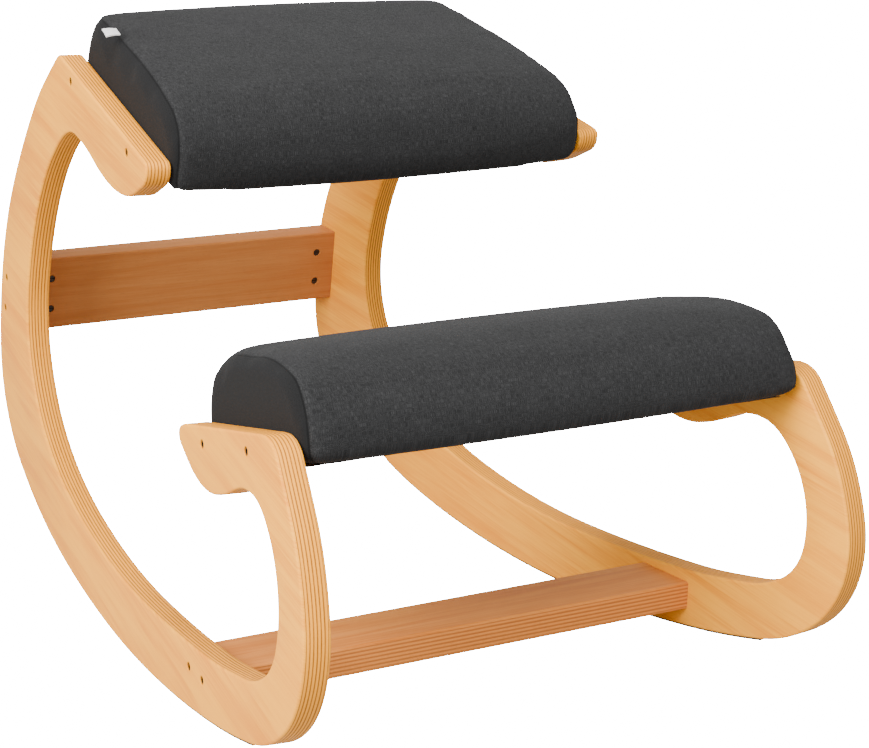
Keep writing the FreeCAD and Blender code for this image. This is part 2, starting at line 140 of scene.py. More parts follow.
# name: place, its two bolts on either side as (q, h), way in for the nuts as (q, h), half the wood there
JOINTS = {
    "seat": (SEAT, ((-65.5, 0.0), (81.5, 0.0)), (0.0, 1.0), BOARD_THICKNESS / 2),
    "knee": (KNEE, ((-38.7, 0.0), (50.3, 0.0)), (0.0, 1.0), BOARD_THICKNESS / 2),
    "back_rail": (BACK_RAIL, ((0.0, -14.5), (0.0, 14.5)), (1.0, 0.0), BACK_RAIL_SIZE[0] / 2),
    "foot_rail": (FOOT_RAIL, ((-14.2, 0.0), (14.2, 0.0)), (0.0, 1.0), FOOT_RAIL_SIZE[1] / 2),
}


def bolt_spots(joint):
    """Where a joint's two bolts cross the side frames, as (u, v)."""
    place, spots = JOINTS[joint][:2]
    crossings = [place.at(q, h) for q, h in spots]
    return [(y / math.cos(SPLAY), z) for y, z in crossings]


# Outlines of tangent arcs


def unit(heading):
    """The unit vector at a heading in degrees, as a complex number."""
    return cmath.rect(1.0, math.radians(heading))


def trace(stations, step, reach=math.inf):
    """Points and headings along the two tangent arcs from each station (u, v, heading) to the next.

    Points are at most step degrees and reach millimetres apart. The two arcs meet midway between the
    ends of two tangents of one length. In complex numbers, an arc from p0 to p1 that turns by a has at
    its fraction t the point p0 + (p1 - p0)(e^(iat) - 1)/(e^(ia) - 1), and the heading h0 + a t. The
    last point is left out.
    """
    points = []
    headings = []
    for (u0, v0, first), (u1, v1, last) in zip(stations, stations[1:]):
        start = complex(u0, v0)
        end = complex(u1, v1)
        chord = end - start
        along = (chord * (unit(first) + unit(last)).conjugate()).real
        bend = 2 * (1 - (unit(first) * unit(last).conjugate()).real)
        square = abs(chord) ** 2
        if bend < 1e-9:
            tangent = square / (2 * along)
        else:
            tangent = (math.sqrt(along * along + bend * square) - along) / bend
        meeting = (start + unit(first) * tangent + end - unit(last) * tangent) / 2
        heading = first
        for a, b in ((start, meeting), (meeting, end)):
            turn = 2 * cmath.phase((b - a) / unit(heading))
            count = max(1, math.ceil(abs(math.degrees(turn)) / step), math.ceil(abs(b - a) / reach))
            t = np.arange(count) / count
            if abs(turn) < 1e-6:
                fraction = t
            else:
                fraction = (np.exp(1j * turn * t) - 1) / (cmath.exp(1j * turn) - 1)
            points.append(a + (b - a) * fraction)
            headings.append(heading + math.degrees(turn) * t)
            heading += math.degrees(turn)
    return np.concatenate(points), np.radians(np.concatenate(headings))


def outward(headings):
    """The unit vector to the right of each heading, as a complex number: -i e^(ih)."""
    return -1j * np.exp(1j * headings)


def frame_outline():
    """Outline of a side frame, once round: seat arm, open bay, knee arm, front, rocker, back."""
    rise = math.tan(math.radians(SEAT_LEAN))
    heel = SEAT_ARM_HEIGHT + 137.0 * rise
    tip = SEAT_ARM_HEIGHT - 89.0 * rise
    knee_slope = math.radians(-KNEE_LEAN)
    shoulder_u = KNEE_ARM[0] - 149.8 * math.cos(knee_slope)
    shoulder_v = KNEE_ARM[1] + 149.8 * math.sin(knee_slope)
    stations = [
        (137.0, heel, 183.6),
        (-72.5, tip + 1.0, 183.6),
        (-89.0, tip - 5.7, 262),
        (-67.0, tip - 32.0, 325.5),
        (-8.0, 366.1, 360),
        (83.6, 376.1, 360),
        (123.0, 359.1, 317),
        (190.6, 200.0, 271),
        (113.0, 84.4, 205.6),
        (0.0, 59.4, 182.7),
        (-299.0, 100.4, 165.3),
        (-366.0, 122.7, 160.1),
        (-416.7, 181.9, 90.3),
        (-377.7, 254.2, 32.8),
        (-353.0, 262.3, 0),
        (-283.3, 228.7, -24.5),
        (-218.4, 229.2, 22),
        (-200.8, 239.8, 70),
        (*KNEE_ARM, 157.5),
        (shoulder_u, shoulder_v, 157.5),
        (shoulder_u - 17.9, shoulder_v + 4.5, 180),
        (shoulder_u - 35.7, shoulder_v - 2.4, 222),
        (-441.6, 249.3, 237.8),
        (-464.5, 183.7, 268.9),
        (-390.0, 82.6, 337),
        (-328.0, 58.8, 341.5),
        (14.8, 0.0, 360.3),
        (122.3, 9.8, 371.5),
        (233.6, 58.7, 404.3),
        (270.3, 181.4, 451.4),
        (200.3, 363.4, 484.2),
        (150.7, 419.6, 494.9),
        (137.0, heel, 543.6),
    ]
    return trace(stations, step=3.0, reach=24.0)


# Meshes


def tidy_mesh(mesh, sharp):
    """Close a mesh's seams, turn its faces outward and smooth it up to an angle."""
    work = bmesh.new()
    work.from_mesh(mesh)
    bmesh.ops.remove_doubles(work, verts=work.verts, dist=1e-6)
    bmesh.ops.recalc_face_normals(work, faces=work.faces)
    work.to_mesh(mesh)
    work.free()
    mesh.polygons.foreach_set("use_smooth", np.ones(len(mesh.polygons), bool))
    mesh.set_sharp_from_angle(angle=math.radians(sharp))
    mesh.update()


def solid_piece(name, grids, sharp=SHARP):
    """An object at the origin from grids of drawing-frame points, one closed solid for each.

    A grid has its rows round the solid and its columns along it, and its two ends are closed.
    """
    points = []
    faces = []
    start = 0
    for grid in grids:
        rows, columns = grid.shape[:2]
        row = np.arange(rows)[:, None]
        column = np.arange(columns - 1)[None, :]
        here = row * columns + column
        below = (row + 1) % rows * columns + column
        sides = np.stack((here, here + 1, below + 1, below), axis=-1).reshape(-1, 4)
        end = np.arange(rows) * columns
        faces += (sides + start).tolist()
        faces.append((end + start).tolist())
        faces.append((end + columns - 1 + start).tolist())
        points.append(grid.reshape(-1, 3))
        start += rows * columns
    mesh = bpy.data.meshes.new(name)
    mesh.from_pydata(standing(np.concatenate(points)), [], faces)
    tidy_mesh(mesh, sharp)
    piece = bpy.data.objects.new(name, mesh)
    bpy.context.scene.collection.objects.link(piece)
    return piece


def lathe(start, axis, profile, sides=32):
    """Points of a turned solid, rows round it and columns along its profile.

    A profile point (r, d) at the angle b lies at s + d n + r (e cos b + f sin b), with s the start,
    n the axis and e, f at right angles to it.
    """
    n = np.array(axis) / np.linalg.norm(axis)
    e = np.cross(n, (0.3, 0.5, 0.81))  # a direction that no axis lies along
    e /= np.linalg.norm(e)
    f = np.cross(n, e)
    b = np.arange(sides)[:, None] * 2 * math.pi / sides
    r, d = np.array(profile, float).T
    ring = np.cos(b)[..., None] * e + np.sin(b)[..., None] * f
    return np.array(start) + d[None, :, None] * n + r[None, :, None] * ring


def with_modifiers(piece):
    """Apply the piece's modifiers to its mesh."""
    graph = bpy.context.evaluated_depsgraph_get()
    mesh = bpy.data.meshes.new_from_object(piece.evaluated_get(graph))
    piece.modifiers.clear()
    old = piece.data
    piece.data = mesh
    bpy.data.meshes.remove(old)
    return mesh


def carved(piece, tool):
    """The piece with the tool's solids taken out of it."""
    cut = piece.modifiers.new("cut", "BOOLEAN")
    cut.operation = "DIFFERENCE"
    cut.solver = "EXACT"
    cut.object = tool
    mesh = with_modifiers(piece)
    bpy.data.objects.remove(tool)
    tidy_mesh(mesh, SHARP)
    if not len(mesh.polygons):
        raise RuntimeError("cutting %s left nothing" % piece.name)
    return piece


def dressed(piece, material, replaced):
    """Give a new piece its finish, its body and the CAD nodes that it stands for."""
    piece.data.materials.clear()
    piece.data.materials.append(material)
    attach(piece, "root")
    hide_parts(*replaced)


def finish_node(node, material):
    """Give a CAD node that stays in view its finish."""
    mesh = NODES[node].data
    mesh.materials.clear()
    mesh.materials.append(material)


# Shader maths


class Value:
    """A socket of a material; arithmetic on it adds Math nodes."""

    def __init__(self, recipe, socket):
        self.recipe = recipe
        self.socket = socket

    def maths(self, operation, *others):
        return self.recipe.node("ShaderNodeMath", {"operation": operation}, dict(enumerate((self, *others))))

    def __add__(self, other):
        return self.maths("ADD", other)

    __radd__ = __add__

    def __sub__(self, other):
        return self.maths("SUBTRACT", other)

    def __rsub__(self, other):
        return self * -1.0 + other

    def __mul__(self, other):
        return self.maths("MULTIPLY", other)

    def __truediv__(self, other):
        return self.maths("DIVIDE", other)

    def __mod__(self, other):
        return self.maths("FLOORED_MODULO", other)

    def __abs__(self):
        return self.maths("ABSOLUTE")

    def sine(self):
        return self.maths("SINE")

    def smooth(self, low, high):
        """0 below low, 1 above high, and a smooth step between."""
        inlets = {"Value": self, "From Min": low, "From Max": high}
        return self.recipe.node("ShaderNodeMapRange", {"interpolation_type": "SMOOTHSTEP"}, inlets)


class Recipe:
    """A material with one Principled shader, and what its patterns are made from."""

    def __init__(self, name, roughness, **constants):
        self.material = bpy.data.materials.new(name)
        self.material.use_nodes = True
        self.tree = self.material.node_tree
        self.shader = self.tree.nodes["Principled BSDF"]
        self.shader.inputs["Roughness"].default_value = roughness
        for socket, value in constants.items():
            self.shader.inputs[socket.replace("_", " ")].default_value = value

    def node(self, kind, settings=None, inlets=None, outlet=0):
        made = self.tree.nodes.new(kind)
        for key, value in (settings or {}).items():
            setattr(made, key, value)
        for key, value in (inlets or {}).items():
            if isinstance(value, Value):
                self.tree.links.new(value.socket, made.inputs[key])
            else:
                made.inputs[key].default_value = value
        return Value(self, made.outputs[outlet])

    def here(self):
        return self.node("ShaderNodeTexCoord", outlet="Object")

    def along(self, direction, offset=0.0):
        """How far a point lies along a direction of the row frame, in millimetres."""
        inlets = {0: self.here(), 1: tuple(1000.0 * part for part in direction)}
        return self.node("ShaderNodeVectorMath", {"operation": "DOT_PRODUCT"}, inlets, "Value") + offset

    def vector(self, x, y, z):
        return self.node("ShaderNodeCombineXYZ", None, {0: x, 1: y, 2: z})

    def noise(self, vector, scale=1.0, detail=2.0, roughness=0.5, distortion=0.0):
        inlets = {"Vector": vector, "Scale": scale, "Detail": detail}
        inlets.update({"Roughness": roughness, "Distortion": distortion})
        return self.node("ShaderNodeTexNoise", None, inlets)

    def mix(self, factor, first, second):
        """Colours mixed by a factor."""
        first, second = (c if isinstance(c, Value) else (*c, 1.0) for c in (first, second))
        return self.node("ShaderNodeMix", {"data_type": "RGBA"}, {0: factor, 6: first, 7: second}, 2)

    def bump(self, height, strength, distance):
        inlets = {"Strength": strength, "Distance": distance, "Height": height}
        return self.node("ShaderNodeBump", None, inlets)

    def wear(self, **changing):
        """Link what changes over the surface to the shader, and return the material."""
        for socket, value in changing.items():
            self.tree.links.new(value.socket, self.shader.inputs[socket.replace("_", " ")])
        return self.material


# Finishes

VENEER = 2.1  # thickness of the plywood's two faces
PLIES = 6  # between the faces
YARN_PITCH = 1.7
STITCH_PITCH = 3.6
# The drawing frame's Y and Z axes in the row frame, and what a distance along Y starts from
TO_BACK = (0.0, COS_TILT, SIN_TILT)
UPWARD = (0.0, -SIN_TILT, COS_TILT)
DRAWING_Y = -STANDS_AT[1] * COS_TILT - STANDS_AT[2] * SIN_TILT


def toned(colour, *factors):
    """A colour with its channels multiplied, all by one factor or each by its own."""
    return tuple(np.multiply(colour, factors).tolist())


def plywood(name, pale, depth_of, grain_of, thick, contrast):
    """Varnished plywood: long fine grain on its two faces, plies on its edges.

    depth_of(recipe) is the distance from one face, and grain_of(recipe) the places along the grain and
    across it, in millimetres. contrast is how dark the lines between the plies are.
    """
    recipe = Recipe(name, 0.5, Specular_IOR_Level=0.08)
    depth = depth_of(recipe)
    grain, cross = grain_of(recipe)
    broad = recipe.noise(recipe.vector(grain * 0.004, cross * 0.05, depth * 0.02), 1.0, 4.0, 0.6, 0.6)
    fine = recipe.noise(recipe.vector(grain * 0.012, cross * 0.75, depth * 0.1), 1.0, 3.0, 0.55)
    cloud = recipe.noise(recipe.vector(grain * 0.008, cross * 0.012, depth * 0.01), 1.0, 2.0)
    streak = (broad * 0.6 + fine * 0.4).smooth(0.36, 0.6)
    face = recipe.mix(streak, toned(pale, 0.80, 0.62, 0.40), pale)
    face = recipe.mix(cloud.smooth(0.35, 0.75) * 0.35, face, toned(pale, 0.97, 0.9, 0.8))

    layer = (depth - VENEER) / ((thick - 2 * VENEER) / PLIES)
    wobble = recipe.noise(recipe.vector(grain * 0.03, cross * 0.03, depth * 0.9), 1.0, 3.0, 0.6)
    nearness = abs((layer + (wobble - 0.5) * 0.22) % 1.0 - 0.5)
    line = nearness.smooth(0.31, 0.43) * contrast
    core = recipe.mix(nearness.smooth(0.1, 0.3), toned(pale, 1.02, 0.98, 0.95), toned(pale, 0.84, 0.72, 0.6))
    edge = recipe.mix(line, core, toned(pale, 0.16, 0.13, 0.25))
    speck = recipe.noise(recipe.vector(grain * 0.5, cross * 0.5, depth * 1.4), 1.0, 2.0)
    edge = recipe.mix(speck.smooth(0.45, 0.75) * 0.3, edge, toned(pale, 0.72, 0.6, 0.5))

    from_face = depth.maths("MINIMUM", thick - depth)
    inside = from_face.smooth(VENEER - 0.25, VENEER + 0.15)
    colour = recipe.mix(inside, face, edge)
    relief = fine * (1.0 - inside) * 0.6 + line * inside * -0.8 + speck * inside * 0.3
    rough = 0.38 + streak * 0.08 + line * inside * 0.2
    return recipe.wear(Base_Color=colour, Roughness=rough, Normal=recipe.bump(relief, 0.25, 0.0003))


def frame_depth(recipe):
    """Distance outward from a side frame's inner face: |x| cos a + y sin a - 180 cos a."""
    x = recipe.along((1.0, 0.0, 0.0))
    y = recipe.along(TO_BACK, DRAWING_Y)
    return abs(x) * math.cos(SPLAY) + y * math.sin(SPLAY) - GAP / 2 * math.cos(SPLAY)


def frame_grain(recipe):
    return recipe.along(TO_BACK), recipe.along(UPWARD)


def leaning(place):
    """Row-frame directions of a cross member's depth and of its height."""
    lean = TILT + place.lean
    return (0.0, math.cos(lean), math.sin(lean)), (0.0, -math.sin(lean), math.cos(lean))


def foot_rail_depth(recipe):
    """Height over the foot rail's underside."""
    up = leaning(FOOT_RAIL)[1]
    y, z = standing((0.0, FOOT_RAIL.y, FOOT_RAIL.z))[1:] * 1000
    return recipe.along(up, FOOT_RAIL_SIZE[1] / 2 - y * up[1] - z * up[2])


def foot_rail_grain(recipe):
    return recipe.along((1.0, 0.0, 0.0)), recipe.along(leaning(FOOT_RAIL)[0])


def solid_wood(name, pale):
    """Oiled beech of the back rail: grain along X with short darker flecks."""
    recipe = Recipe(name, 0.5, Specular_IOR_Level=0.08)
    x = recipe.along((1.0, 0.0, 0.0))
    along, up = leaning(BACK_RAIL)
    q = recipe.along(along)
    h = recipe.along(up)
    broad = recipe.noise(recipe.vector(x * 0.004, q * 0.05, h * 0.06), 1.0, 4.0, 0.6, 0.8)
    fine = recipe.noise(recipe.vector(x * 0.02, q * 0.8, h * 0.8), 1.0, 3.0, 0.55)
    fleck = recipe.noise(recipe.vector(x * 0.16, q * 1.3, h * 1.3), 1.0, 1.0)
    streak = (broad * 0.6 + fine * 0.4).smooth(0.3, 0.7)
    colour = recipe.mix(streak, toned(pale, 0.84, 0.74, 0.64), pale)
    colour = recipe.mix(fleck.smooth(0.62, 0.74) * 0.4, colour, toned(pale, 0.6))
    rough = 0.38 + streak * 0.1
    return recipe.wear(Base_Color=colour, Roughness=rough, Normal=recipe.bump(fine, 0.2, 0.0003))


def cover_cloth(name, dark):
    """Charcoal woven cover with pale flecks, smoother end panels, and the sewn seam between them, whose
    groove is darkened with painted shade.

    The attribute sewn holds the distance past the seam onto the end panel, the place along the side
    view and the place across, in millimetres.
    """
    recipe = Recipe(name, 0.9, Sheen_Weight=0.03, Sheen_Roughness=0.5, Specular_IOR_Level=0.1)
    sewn = recipe.node("ShaderNodeAttribute", {"attribute_name": "sewn"}, None, "Vector")
    past, along, across = (recipe.node("ShaderNodeSeparateXYZ", None, {0: sewn}, n) for n in range(3))
    end = past.smooth(-0.3, 0.3)
    warp = (across * (2 * math.pi / YARN_PITCH)).sine()
    weft = (along * (2 * math.pi / YARN_PITCH)).sine()
    over = (warp * weft).smooth(-0.25, 0.25)
    lengthwise = recipe.noise(recipe.vector(across * 0.22, along * 1.15, 3.0), 1.0, 2.0, 0.7)
    crosswise = recipe.noise(recipe.vector(across * 1.15, along * 0.22, 9.0), 1.0, 2.0, 0.7)
    yarns = recipe.mix(over, lengthwise, crosswise)
    fleck = recipe.node("ShaderNodeSeparateColor", None, {0: yarns}).smooth(0.36, 0.72)
    cloud = recipe.noise(recipe.here(), 38.0, 3.0, 0.6).smooth(0.35, 0.7)
    shade = fleck * 0.9 + cloud * 0.1
    woven = recipe.mix(shade, toned(dark, 0.6), toned(dark, 1.7))
    soft = recipe.noise(recipe.here(), 900.0, 2.0, 0.6).smooth(0.3, 0.75)
    plain = recipe.mix(soft, toned(dark, 0.40), toned(dark, 0.52))
    colour = recipe.mix(end, woven, plain)
    # Mask of the seam's groove: it shapes the bump, and it also places the painted shade in the groove
    seam = 1.0 - abs(past).smooth(0.5, 1.7)
    dashes = (along * (2 * math.pi / STITCH_PITCH)).sine().smooth(-0.5, 0.1)
    stitch = (1.0 - abs(past + 1.9).smooth(0.3, 0.7)) * dashes
    # Painted shade: the seam's groove darkened to a fifth of the cover's colour
    colour = recipe.mix(seam * 0.85, colour, toned(dark, 0.2))
    colour = recipe.mix(stitch * 0.5, colour, toned(dark, 0.5))
    weave = warp * weft * (1.0 - end) * 0.5 + soft * 0.25 + fleck * (1.0 - end) * 0.3
    relief = weave - seam * 1.6 - stitch * 0.8
    return recipe.wear(Base_Color=colour, Normal=recipe.bump(relief, 0.45, 0.0004))


def steel(name, tint, roughness):
    """Turned steel, with fine rings of wear."""
    recipe = Recipe(name, roughness, Metallic=1.0)
    scratch = recipe.noise(recipe.here(), 1400.0, 3.0, 0.7)
    colour = recipe.mix(scratch.smooth(0.35, 0.7), toned(tint, 0.6), tint)
    rough = roughness + scratch * 0.2
    return recipe.wear(Base_Color=colour, Roughness=rough, Normal=recipe.bump(scratch, 0.15, 0.0002))


def rubber(name, dark):
    """Matt rubber with a fine tooth."""
    recipe = Recipe(name, 0.75, Specular_IOR_Level=0.3)
    tooth = recipe.noise(recipe.here(), 1500.0, 2.0, 0.6)
    colour = recipe.mix(tooth, toned(dark, 0.7), toned(dark, 1.4))
    return recipe.wear(Base_Color=colour, Normal=recipe.bump(tooth, 0.4, 0.0002))


def thin_cloth(name, tint, pitch):
    """Plain woven cloth of the dust covers and the tab: crossing threads of one pitch, in millimetres."""
    recipe = Recipe(name, 0.9, Sheen_Weight=0.15, Specular_IOR_Level=0.2)
    x = recipe.along((1.0, 0.0, 0.0)) * (2 * math.pi / pitch)
    y = recipe.along(TO_BACK) * (2 * math.pi / pitch)
    z = recipe.along(UPWARD) * (2 * math.pi / pitch)
    weave = x.sine() * (y + z).sine()
    fluff = recipe.noise(recipe.here(), 700.0, 3.0, 0.6)
    shade = weave * 0.2 + fluff
    colour = recipe.mix(shade.smooth(0.1, 0.9), toned(tint, 0.75), tint)
    return recipe.wear(Base_Color=colour, Normal=recipe.bump(weave + fluff, 0.4, 0.0002))


# Pieces


def side_frame(side, name, arris):
    """Plywood side frame: its outline carried round with a section that has two rounded arrises.

    The section point at angle b of the inner arris lies r - r sin b inside the outline and
    r - r cos b from the inner face; the outer arris mirrors it.
    """
    points, headings = frame_outline()
    b = np.radians(np.linspace(0, 90, 6))
    inset = np.concatenate((arris * (1 - np.sin(b)), arris * (1 - np.sin(b))[::-1]))
    w = np.concatenate((arris * (1 - np.cos(b)), PLY - arris * (1 - np.cos(b))[::-1]))
    place = points[:, None] - outward(headings)[:, None] * inset[None, :]
    grid = on_frame(side, place.real, place.imag, np.broadcast_to(w, place.shape))
    piece = solid_piece(name, [grid])
    holes = []
    for joint in JOINTS:
        for u, v in bolt_spots(joint):
            outer = on_frame(side, u, v, PLY)
            inward = on_frame(side, u, v, 0.0) - outer
            profile = [
                (MOUTH, -3.0),
                (MOUTH, 0.0),
                (BORE, MOUTH_DEPTH),
                (BORE, RECESS_DEPTH),
                (BOLT_HOLE, RECESS_DEPTH + 0.1),
                (BOLT_HOLE, PLY + 3.0),
            ]
            holes.append(lathe(outer, inward, profile))
    return carved(piece, solid_piece(name + "_holes", holes))


def rail_solid(name, place, depth, height):
    """A rail between the side frames: a rounded rectangle carried across, its ends on the frames' faces.

    At a point (y, z) of the section, x runs between -(180 - y tan a) and 180 - y tan a.
    """
    half_q = depth / 2
    half_h = height / 2
    flat_q = half_q - RAIL_EDGE
    flat_h = half_h - RAIL_EDGE
    stations = [
        (half_q, -flat_h, 90),
        (half_q, flat_h, 90),
        (flat_q, half_h, 180),
        (-flat_q, half_h, 180),
        (-half_q, flat_h, 270),
        (-half_q, -flat_h, 270),
        (-flat_q, -half_h, 360),
        (flat_q, -half_h, 360),
        (half_q, -flat_h, 450),
    ]
    points = trace(stations, step=15.0)[0]
    y, z = place.at(points.real, points.imag)
    reach = GAP / 2 - RAIL_CLEARANCE - y * math.tan(SPLAY)
    across = np.linspace(-1, 1, 9)
    x = reach[:, None] * across[None, :]
    grid = np.stack(np.broadcast_arrays(x, y[:, None], z[:, None]), axis=-1)
    return solid_piece(name, [grid])


def nut_axes(joint):
    """Mouth and way in of each barrel nut's hole."""
    place, _, (q, h), half = JOINTS[joint]
    lean = place.lean
    into = np.array((0.0, q * math.cos(lean) - h * math.sin(lean), q * math.sin(lean) + h * math.cos(lean)))
    axes = []
    for side in SIDES:
        for u, v in bolt_spots(joint):
            axes.append((on_frame(side, u, v, -NUT_SETBACK) - into * half, into))
    return axes


def bored_rail(name, joint, depth, height):
    """A rail with the wells of its barrel nuts."""
    place = JOINTS[joint][0]
    profile = [(MOUTH, -2.0), (MOUTH, 0.0), (BORE, MOUTH_DEPTH), (BORE, WELL_DEPTH)]
    wells = [lathe(mouth, into, profile) for mouth, into in nut_axes(joint)]
    return carved(rail_solid(name, place, depth, height), solid_piece(name + "_wells", wells))


def barrel_nuts(name, joint):
    """Barrel nuts with a driver slot across their open end."""
    across = np.array((1.0, 0.0, 0.0))
    bodies = []
    slots = []
    for mouth, into in nut_axes(joint):
        bodies.append(lathe(mouth, into, [(2.9, 2.4), (HEAD, 2.8), (HEAD, 14.6), (3.0, WELL_DEPTH)]))
        slots.append(lathe(mouth + into * 3.0 - across * 6.0, across, [(0.9, 0.0), (0.9, 12.0)], 4))
    return carved(solid_piece(name, bodies), solid_piece(name + "_slots", slots))


def bolts(name, joint):
    """Bolts sunk in the side frames, with a hexagon socket in each round head."""
    bodies = []
    sockets = []
    for side in SIDES:
        for u, v in bolt_spots(joint):
            outer = on_frame(side, u, v, PLY)
            inward = (on_frame(side, u, v, 0.0) - outer) / PLY
            profile = [
                (2.9, 0.9),
                (3.25, 1.3),
                (HEAD, RECESS_DEPTH - 0.1),
                (SHANK, RECESS_DEPTH - 0.05),
                (SHANK, BOLT_LENGTH - 2.0),
                (1.9, BOLT_LENGTH),
            ]
            bodies.append(lathe(outer, inward, profile))
            sockets.append(lathe(outer, inward, [(2.0, -1.0), (2.0, 4.4), (0.4, 5.2)], 6))
    return carved(solid_piece(name, bodies), solid_piece(name + "_sockets", sockets))


def sewn_tab(name):
    """Blank tab, folded double and sewn into the seam.

    With s along the seam and t out of it, both from 0 to 1: y = 68 - 11.5 s - 1.5 t,
    x = -(180 - y tan a) + 3 - 13 t and z = 471.5 - 1.5 s + 2.5 t - 2 t t - s t + 0.6 t sin(pi s).
    Its faces lie 0.35 + 0.25 t above and below that.
    """
    s = np.linspace(0, 1, 9)[:, None]
    t = np.linspace(0, 1, 12)[None, :]
    out = 13.0 * t
    y = 68.0 - 11.5 * s - 1.5 * t
    droop = 2.5 * t - 2.0 * t * t - 1.0 * s * t + 0.6 * np.sin(math.pi * s) * t
    z = 471.5 - 1.5 * s + droop
    x = -(GAP / 2 - y * math.tan(SPLAY)) + 3.0 - out
    half = 0.35 + 0.25 * t
    upper = np.stack(np.broadcast_arrays(x, y, z + half), axis=-1)
    lower = np.stack(np.broadcast_arrays(x, y, z - half), axis=-1)
    loop = np.concatenate((upper, lower[:, ::-1]), axis=1)
    return solid_piece(name, [np.swapaxes(loop, 0, 1)], 50.0)


LIP_RADIUS = 8.0  # of the cover where it turns under the board
END_RADIUS = 7.0  # of the cover where it turns onto an end panel
REST_SHRINK = 0.8  # how much smaller a pad is before its cover is blown up
VOXEL = 0.0048  # size of the even mesh's faces, in metres
SIMULATED_FRAMES = 20
SOFT_CLEARANCE = 0.4  # between a cover and a side frame
GROOVE_WIDTH = 2.2
NO_SEAM = -20.0  # what is stored as the distance past the seam where there is none


class Pad:
    """An upholstered pad: its side view as stations (q, h, heading) in its place, and its swellings.

    half is half its depth, lip how far it reaches below its board, crown how far its top stands up in
    the middle and swell how far its front and back stand out there.
    """

    def __init__(self, place, over, half, lip, crown, swell):
        self.place = place
        self.foot = -BOARD_THICKNESS / 2 - lip
        self.over = over
        self.half = half
        self.crown = crown
        self.swell = swell
        self.half_gap = GAP / 2 - place.y * math.tan(SPLAY)

    def outline(self, reach):
        """The side view, once round, with the cover wrapped under the board's edges."""
        low = self.foot + LIP_RADIUS
        flat = self.half - LIP_RADIUS
        under = [
            (-self.half, low, 270),
            (-flat, self.foot, 360),
            (flat, self.foot, 360),
            (self.half, low, 450),
        ]
        q, h, heading = self.over[0]
        return trace([*self.over, *under, (q, h, heading + 360)], step=8.0, reach=reach)

    def surface(self, shrink):
        """Points of the pad: the side view carried from one side frame to the other.

        At the fraction a of the way from the middle to an end, the section turns by a times the splay,
        stands out by its swellings times 1 - a a, and near the end is drawn in by the quarter circle
        R - sqrt(R R - (R - d)(R - d)) at the distance d from the end.
        """
        points, headings = self.outline(6.0)
        out = outward(headings)
        near = np.array((0.0, 0.06, 0.2, 0.4, 0.7, 1.0)) * END_RADIUS
        last = self.half_gap - shrink
        inner = np.linspace(END_RADIUS, last, 14)[1:]
        d = np.concatenate((near, inner))
        a = (last - d) / self.half_gap
        pull = END_RADIUS - np.sqrt(END_RADIUS**2 - np.clip(END_RADIUS - d, 0, None) ** 2)
        a = np.concatenate((-a, a[::-1][1:]))
        pull = np.concatenate((pull, pull[::-1][1:])) + shrink
        rise = 1 - a * a
        q = points.real[:, None] + out.real[:, None] * (self.swell * rise - pull)
        h = points.imag[:, None] + out.imag[:, None] * (self.crown * rise - pull)
        lean = self.place.lean
        level = q * math.cos(lean) - h * math.sin(lean)
        x = a * self.half_gap - level * np.sin(a * SPLAY)
        y = self.place.y + level * np.cos(a * SPLAY)
        z = self.place.z + q * math.sin(lean) + h * math.cos(lean)
        return np.stack((x, y, z), axis=-1)

    def local(self, points):
        """(across a, q, h, distance from the nearer side frame) of drawing-frame points."""
        x, y, z = points.T
        back = y - self.place.y
        a = x / (self.half_gap - back * math.tan(SPLAY))
        level = back / np.cos(a * SPLAY)
        rise = z - self.place.z
        lean = self.place.lean
        q = level * math.cos(lean) + rise * math.sin(lean)
        h = rise * math.cos(lean) - level * math.sin(lean)
        return a, q, h, (GAP / 2 - y * math.tan(SPLAY) - abs(x)) * math.cos(SPLAY)


def vertex_values(mesh, what):
    """The places, "co", or normals, "normal", of a mesh's vertices."""
    flat = np.empty(len(mesh.vertices) * 3)
    mesh.vertices.foreach_get(what, flat)
    return flat.reshape(-1, 3)


def blown_up(piece, held, cap):
    """Fill the cover from inside by cloth pressure, no point moving further than the cap."""
    start = vertex_values(piece.data, "co")
    piece.vertex_groups.new(name="held").add(np.flatnonzero(held).tolist(), 1.0, "REPLACE")
    cloth = piece.modifiers.new("cover", "CLOTH")
    cloth.settings.quality = 5
    cloth.settings.mass = 0.3
    cloth.settings.tension_stiffness = 40.0
    cloth.settings.compression_stiffness = 40.0
    cloth.settings.bending_stiffness = 8.0
    cloth.settings.use_pressure = True
    cloth.settings.uniform_pressure_force = 4.0
    cloth.settings.vertex_group_mass = "held"
    cloth.settings.effector_weights.gravity = 0.0
    cloth.point_cache.frame_start = 1
    cloth.point_cache.frame_end = SIMULATED_FRAMES
    for time in range(1, SIMULATED_FRAMES + 1):
        bpy.context.scene.frame_set(time)
    mesh = with_modifiers(piece)
    bpy.context.scene.frame_set(1)
    move = vertex_values(mesh, "co") - start
    length = np.linalg.norm(move, axis=1, keepdims=True)
    move *= np.minimum(1.0, cap / np.maximum(length, 1e-9))
    mesh.vertices.foreach_set("co", (start + move).ravel())
    piece.vertex_groups.clear()


def padded_form(name, pad, cap):
    """The pad a little small, meshed evenly, blown up as a cloth cover and smoothed."""
    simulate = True
    grid = pad.surface(REST_SHRINK if simulate else 0.0)
    piece = solid_piece(name, [grid], 180.0)
    remesh = piece.modifiers.new("even", "REMESH")
    remesh.mode = "VOXEL"
    remesh.voxel_size = VOXEL
    mesh = with_modifiers(piece)
    if simulate:
        h = pad.local(drawn(vertex_values(mesh, "co")))[2]
        blown_up(piece, h < pad.foot + 1.5, cap)
    calm = piece.modifiers.new("calm", "SMOOTH")
    calm.factor = 0.5
    calm.iterations = 14
    finer = piece.modifiers.new("finer", "SUBSURF")
    finer.levels = 1
    finer.render_levels = 1
    with_modifiers(piece)
    return piece


